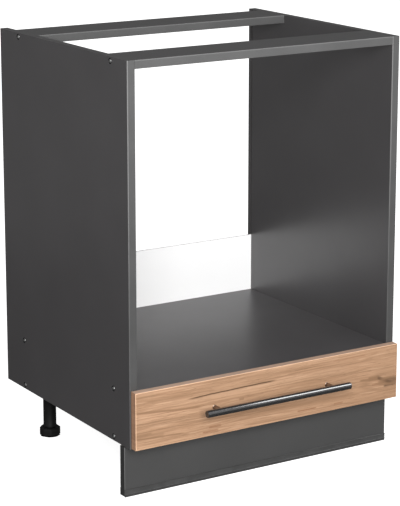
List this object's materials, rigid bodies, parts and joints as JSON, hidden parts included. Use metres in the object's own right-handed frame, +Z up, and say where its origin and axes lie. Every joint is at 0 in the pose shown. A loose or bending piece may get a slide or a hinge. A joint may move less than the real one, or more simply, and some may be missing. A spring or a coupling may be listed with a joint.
{
  "type": "oven housing unit",
  "caption": "Kitchen base unit with an open niche for a built-in oven above a shallow drawer on roller runners, on adjustable legs behind a plinth.",
  "frame": {"origin": "on the floor, under the middle of the whole unit's box, handle included", "axes": "+X to the right as seen from the front, +Y to the back, +Z up"},
  "size_m": [0.6, 0.554, 0.82],
  "materials": {
    "anthracite_board": "fine-grained melamine",
    "anthracite_edging": "satin",
    "white_fibreboard": "lacquered",
    "white_board": "melamine",
    "oak_front": "cracked and knotty oak decor",
    "zinc_steel": "zinc plated",
    "beech": "raw",
    "black_plastic": "matt",
    "grey_seal": "satin",
    "white_steel": "powder coated",
    "white_plastic": "moulded",
    "felt": "felt",
    "handle_steel": "dark brushed"
  },
  "bodies": {
    "carcass": {"back_panel": "white_fibreboard", "back_panel_screws": "zinc_steel", "bottom_board": "anthracite_board", "bottom_board_edging": "anthracite_edging", "cabinet_roller_pins": "zinc_steel", "cabinet_runner_left": "white_steel", "cabinet_runner_right": "white_steel", "cabinet_runner_screws": "zinc_steel", "carcass_dowels": "beech", "carcass_screws": "zinc_steel", "front_rail": "anthracite_board", "front_rail_edging": "anthracite_edging", "leg_plate_front_left": "black_plastic", "leg_plate_front_right": "black_plastic", "leg_plate_rear_left": "black_plastic", "leg_plate_rear_right": "black_plastic", "leg_screws": "zinc_steel", "leg_tube_front_left": "black_plastic", "leg_tube_front_right": "black_plastic", "leg_tube_rear_left": "black_plastic", "leg_tube_rear_right": "black_plastic", "oven_shelf": "anthracite_board", "oven_shelf_edging": "anthracite_edging", "plinth_board": "anthracite_board", "plinth_clip_left": "black_plastic", "plinth_clip_right": "black_plastic", "plinth_clip_screws": "zinc_steel", "plinth_seal": "grey_seal", "rear_rail": "anthracite_board", "rear_rail_edging": "anthracite_edging", "side_edging_left": "anthracite_edging", "side_edging_right": "anthracite_edging", "side_panel_left": "anthracite_board", "side_panel_right": "anthracite_board"},
    "drawer": {"drawer_front": "oak_front", "drawer_side_left": "white_board", "drawer_side_right": "white_board", "drawer_back": "white_board", "drawer_bottom": "white_fibreboard", "drawer_box_screws": "zinc_steel", "front_cams": "zinc_steel", "front_cam_bolts": "zinc_steel", "front_dowels": "beech", "front_pads": "felt", "drawer_runner_left": "white_steel", "drawer_runner_right": "white_steel", "drawer_runner_screws": "zinc_steel", "drawer_roller_pins": "zinc_steel", "handle_bar": "handle_steel", "handle_post_left": "handle_steel", "handle_post_right": "handle_steel", "handle_screws": "zinc_steel"},
    "foot_front_left": {"leg_foot_front_left": "black_plastic"},
    "foot_front_right": {"leg_foot_front_right": "black_plastic"},
    "foot_rear_left": {"leg_foot_rear_left": "black_plastic"},
    "foot_rear_right": {"leg_foot_rear_right": "black_plastic"},
    "cabinet_roller_left": {"cabinet_roller_left": "white_plastic"},
    "cabinet_roller_right": {"cabinet_roller_right": "white_plastic"},
    "drawer_roller_left": {"drawer_roller_left": "white_plastic"},
    "drawer_roller_right": {"drawer_roller_right": "white_plastic"}
  },
  "joints": [
    {"name": "drawer_slide", "type": "slide", "parent": "carcass", "child": "drawer", "axis": [0, -1, 0], "range_m": [0, 0.335]},
    {"name": "foot_front_left_height", "type": "slide", "parent": "carcass", "child": "foot_front_left", "axis": [0, 0, -1], "range_m": [0, 0.025]},
    {"name": "foot_front_right_height", "type": "slide", "parent": "carcass", "child": "foot_front_right", "axis": [0, 0, -1], "range_m": [0, 0.025]},
    {"name": "foot_rear_left_height", "type": "slide", "parent": "carcass", "child": "foot_rear_left", "axis": [0, 0, -1], "range_m": [0, 0.025]},
    {"name": "foot_rear_right_height", "type": "slide", "parent": "carcass", "child": "foot_rear_right", "axis": [0, 0, -1], "range_m": [0, 0.025]},
    {"name": "cabinet_roller_left_spin", "type": "hinge", "parent": "carcass", "child": "cabinet_roller_left", "pos_m": [-0.27815, -0.208, 0.1355], "axis": [1, 0, 0], "continuous": true},
    {"name": "cabinet_roller_right_spin", "type": "hinge", "parent": "carcass", "child": "cabinet_roller_right", "pos_m": [0.27815, -0.208, 0.1355], "axis": [1, 0, 0], "continuous": true},
    {"name": "drawer_roller_left_spin", "type": "hinge", "parent": "drawer", "child": "drawer_roller_left", "pos_m": [-0.27815, 0.213, 0.13275], "axis": [1, 0, 0], "continuous": true},
    {"name": "drawer_roller_right_spin", "type": "hinge", "parent": "drawer", "child": "drawer_roller_right", "pos_m": [0.27815, 0.213, 0.13275], "axis": [1, 0, 0], "continuous": true}
  ],
  "couplings": [
    {"joint": "cabinet_roller_left_spin", "follows": "drawer_slide", "rad_per_m": 105.26},
    {"joint": "cabinet_roller_right_spin", "follows": "drawer_slide", "rad_per_m": 105.26},
    {"joint": "drawer_roller_left_spin", "follows": "drawer_slide", "rad_per_m": 105.26},
    {"joint": "drawer_roller_right_spin", "follows": "drawer_slide", "rad_per_m": 105.26}
  ]
}
